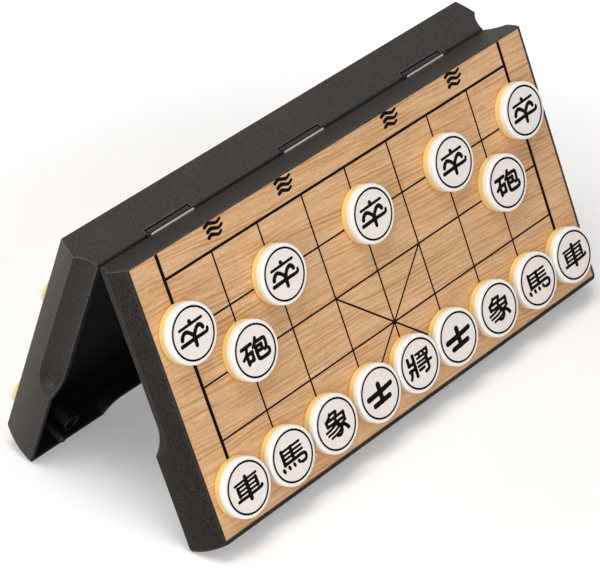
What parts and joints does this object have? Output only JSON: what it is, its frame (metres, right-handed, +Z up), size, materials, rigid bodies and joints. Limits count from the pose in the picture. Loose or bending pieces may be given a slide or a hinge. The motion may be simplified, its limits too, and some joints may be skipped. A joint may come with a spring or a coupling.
{
  "type": "magnetic folding xiangqi set",
  "caption": "Folding plastic case standing like a tent, its two hollow trays hinged along one edge, with a xiangqi board on the outer faces and round magnetic pieces set out for a game.",
  "frame": {"origin": "middle of the footprint on the surface that the case stands on, straight below the hinge line", "axes": "+X along the hinge, +Y from the front half towards the rear half, so the board with the black pieces faces -Y, and +Z up with the case standing like a tent"},
  "size_m": [0.2486, 0.1311, 0.1214],
  "materials": {
    "case_plastic": "moulded black plastic with a fine matte grain",
    "hinge_plastic": "moulded black plastic, a little smoother than the trays",
    "hinge_steel": "drawn steel wire",
    "steel_sheet": "zinc-coated thin sheet",
    "board_print": "printed film with a pale wood grain and black grid lines, satin",
    "black_side_piece": "ivory white face with black ring and sign over an amber back, satin gloss",
    "red_side_piece": "ivory white face with red ring and sign over an amber back, satin gloss"
  },
  "bodies": {
    "front_half": {"front_tray": "case_plastic", "front_steel_sheet": "steel_sheet", "front_board_print": "board_print", "hinge_pin_1": "hinge_steel", "hinge_pin_2": "hinge_steel", "hinge_pin_3": "hinge_steel"},
    "rear_half": {"rear_tray": "case_plastic", "rear_steel_sheet": "steel_sheet", "rear_board_print": "board_print", "hinge_clip_1": "hinge_plastic", "hinge_clip_2": "hinge_plastic", "hinge_clip_3": "hinge_plastic"},
    "black_chariot_1": {"black_chariot_1": "black_side_piece"},
    "black_chariot_2": {"black_chariot_2": "black_side_piece"},
    "black_horse_1": {"black_horse_1": "black_side_piece"},
    "black_horse_2": {"black_horse_2": "black_side_piece"},
    "black_elephant_1": {"black_elephant_1": "black_side_piece"},
    "black_elephant_2": {"black_elephant_2": "black_side_piece"},
    "black_advisor_1": {"black_advisor_1": "black_side_piece"},
    "black_advisor_2": {"black_advisor_2": "black_side_piece"},
    "black_general": {"black_general": "black_side_piece"},
    "black_cannon_1": {"black_cannon_1": "black_side_piece"},
    "black_cannon_2": {"black_cannon_2": "black_side_piece"},
    "black_soldier_1": {"black_soldier_1": "black_side_piece"},
    "black_soldier_2": {"black_soldier_2": "black_side_piece"},
    "black_soldier_3": {"black_soldier_3": "black_side_piece"},
    "black_soldier_4": {"black_soldier_4": "black_side_piece"},
    "black_soldier_5": {"black_soldier_5": "black_side_piece"},
    "red_chariot_1": {"red_chariot_1": "red_side_piece"},
    "red_chariot_2": {"red_chariot_2": "red_side_piece"},
    "red_horse_1": {"red_horse_1": "red_side_piece"},
    "red_horse_2": {"red_horse_2": "red_side_piece"},
    "red_elephant_1": {"red_elephant_1": "red_side_piece"},
    "red_elephant_2": {"red_elephant_2": "red_side_piece"},
    "red_advisor_1": {"red_advisor_1": "red_side_piece"},
    "red_advisor_2": {"red_advisor_2": "red_side_piece"},
    "red_general": {"red_general": "red_side_piece"},
    "red_cannon_1": {"red_cannon_1": "red_side_piece"},
    "red_cannon_2": {"red_cannon_2": "red_side_piece"},
    "red_soldier_1": {"red_soldier_1": "red_side_piece"},
    "red_soldier_2": {"red_soldier_2": "red_side_piece"},
    "red_soldier_3": {"red_soldier_3": "red_side_piece"},
    "red_soldier_4": {"red_soldier_4": "red_side_piece"},
    "red_soldier_5": {"red_soldier_5": "red_side_piece"}
  },
  "joints": [
    {"name": "case_hinge", "type": "hinge", "parent": "front_half", "child": "rear_half", "pos_m": [0, 0, 0.11465], "axis": [1, 0, 0], "range_deg": [-43.4, 136.6]},
    {"name": "black_chariot_1_lift", "type": "slide", "parent": "front_half", "child": "black_chariot_1", "axis": [0, -0.9291, 0.3697], "range_m": [0, 0.04]},
    {"name": "black_chariot_2_lift", "type": "slide", "parent": "front_half", "child": "black_chariot_2", "axis": [0, -0.9291, 0.3697], "range_m": [0, 0.04]},
    {"name": "black_horse_1_lift", "type": "slide", "parent": "front_half", "child": "black_horse_1", "axis": [0, -0.9291, 0.3697], "range_m": [0, 0.04]},
    {"name": "black_horse_2_lift", "type": "slide", "parent": "front_half", "child": "black_horse_2", "axis": [0, -0.9291, 0.3697], "range_m": [0, 0.04]},
    {"name": "black_elephant_1_lift", "type": "slide", "parent": "front_half", "child": "black_elephant_1", "axis": [0, -0.9291, 0.3697], "range_m": [0, 0.04]},
    {"name": "black_elephant_2_lift", "type": "slide", "parent": "front_half", "child": "black_elephant_2", "axis": [0, -0.9291, 0.3697], "range_m": [0, 0.04]},
    {"name": "black_advisor_1_lift", "type": "slide", "parent": "front_half", "child": "black_advisor_1", "axis": [0, -0.9291, 0.3697], "range_m": [0, 0.04]},
    {"name": "black_advisor_2_lift", "type": "slide", "parent": "front_half", "child": "black_advisor_2", "axis": [0, -0.9291, 0.3697], "range_m": [0, 0.04]},
    {"name": "black_general_lift", "type": "slide", "parent": "front_half", "child": "black_general", "axis": [0, -0.9291, 0.3697], "range_m": [0, 0.04]},
    {"name": "black_cannon_1_lift", "type": "slide", "parent": "front_half", "child": "black_cannon_1", "axis": [0, -0.9291, 0.3697], "range_m": [0, 0.04]},
    {"name": "black_cannon_2_lift", "type": "slide", "parent": "front_half", "child": "black_cannon_2", "axis": [0, -0.9291, 0.3697], "range_m": [0, 0.04]},
    {"name": "black_soldier_1_lift", "type": "slide", "parent": "front_half", "child": "black_soldier_1", "axis": [0, -0.9291, 0.3697], "range_m": [0, 0.04]},
    {"name": "black_soldier_2_lift", "type": "slide", "parent": "front_half", "child": "black_soldier_2", "axis": [0, -0.9291, 0.3697], "range_m": [0, 0.04]},
    {"name": "black_soldier_3_lift", "type": "slide", "parent": "front_half", "child": "black_soldier_3", "axis": [0, -0.9291, 0.3697], "range_m": [0, 0.04]},
    {"name": "black_soldier_4_lift", "type": "slide", "parent": "front_half", "child": "black_soldier_4", "axis": [0, -0.9291, 0.3697], "range_m": [0, 0.04]},
    {"name": "black_soldier_5_lift", "type": "slide", "parent": "front_half", "child": "black_soldier_5", "axis": [0, -0.9291, 0.3697], "range_m": [0, 0.04]},
    {"name": "red_chariot_1_lift", "type": "slide", "parent": "rear_half", "child": "red_chariot_1", "axis": [0, 0.9291, 0.3697], "range_m": [0, 0.04]},
    {"name": "red_chariot_2_lift", "type": "slide", "parent": "rear_half", "child": "red_chariot_2", "axis": [0, 0.9291, 0.3697], "range_m": [0, 0.04]},
    {"name": "red_horse_1_lift", "type": "slide", "parent": "rear_half", "child": "red_horse_1", "axis": [0, 0.9291, 0.3697], "range_m": [0, 0.04]},
    {"name": "red_horse_2_lift", "type": "slide", "parent": "rear_half", "child": "red_horse_2", "axis": [0, 0.9291, 0.3697], "range_m": [0, 0.04]},
    {"name": "red_elephant_1_lift", "type": "slide", "parent": "rear_half", "child": "red_elephant_1", "axis": [0, 0.9291, 0.3697], "range_m": [0, 0.04]},
    {"name": "red_elephant_2_lift", "type": "slide", "parent": "rear_half", "child": "red_elephant_2", "axis": [0, 0.9291, 0.3697], "range_m": [0, 0.04]},
    {"name": "red_advisor_1_lift", "type": "slide", "parent": "rear_half", "child": "red_advisor_1", "axis": [0, 0.9291, 0.3697], "range_m": [0, 0.04]},
    {"name": "red_advisor_2_lift", "type": "slide", "parent": "rear_half", "child": "red_advisor_2", "axis": [0, 0.9291, 0.3697], "range_m": [0, 0.04]},
    {"name": "red_general_lift", "type": "slide", "parent": "rear_half", "child": "red_general", "axis": [0, 0.9291, 0.3697], "range_m": [0, 0.04]},
    {"name": "red_cannon_1_lift", "type": "slide", "parent": "rear_half", "child": "red_cannon_1", "axis": [0, 0.9291, 0.3697], "range_m": [0, 0.04]},
    {"name": "red_cannon_2_lift", "type": "slide", "parent": "rear_half", "child": "red_cannon_2", "axis": [0, 0.9291, 0.3697], "range_m": [0, 0.04]},
    {"name": "red_soldier_1_lift", "type": "slide", "parent": "rear_half", "child": "red_soldier_1", "axis": [0, 0.9291, 0.3697], "range_m": [0, 0.04]},
    {"name": "red_soldier_2_lift", "type": "slide", "parent": "rear_half", "child": "red_soldier_2", "axis": [0, 0.9291, 0.3697], "range_m": [0, 0.04]},
    {"name": "red_soldier_3_lift", "type": "slide", "parent": "rear_half", "child": "red_soldier_3", "axis": [0, 0.9291, 0.3697], "range_m": [0, 0.04]},
    {"name": "red_soldier_4_lift", "type": "slide", "parent": "rear_half", "child": "red_soldier_4", "axis": [0, 0.9291, 0.3697], "range_m": [0, 0.04]},
    {"name": "red_soldier_5_lift", "type": "slide", "parent": "rear_half", "child": "red_soldier_5", "axis": [0, 0.9291, 0.3697], "range_m": [0, 0.04]}
  ]
}
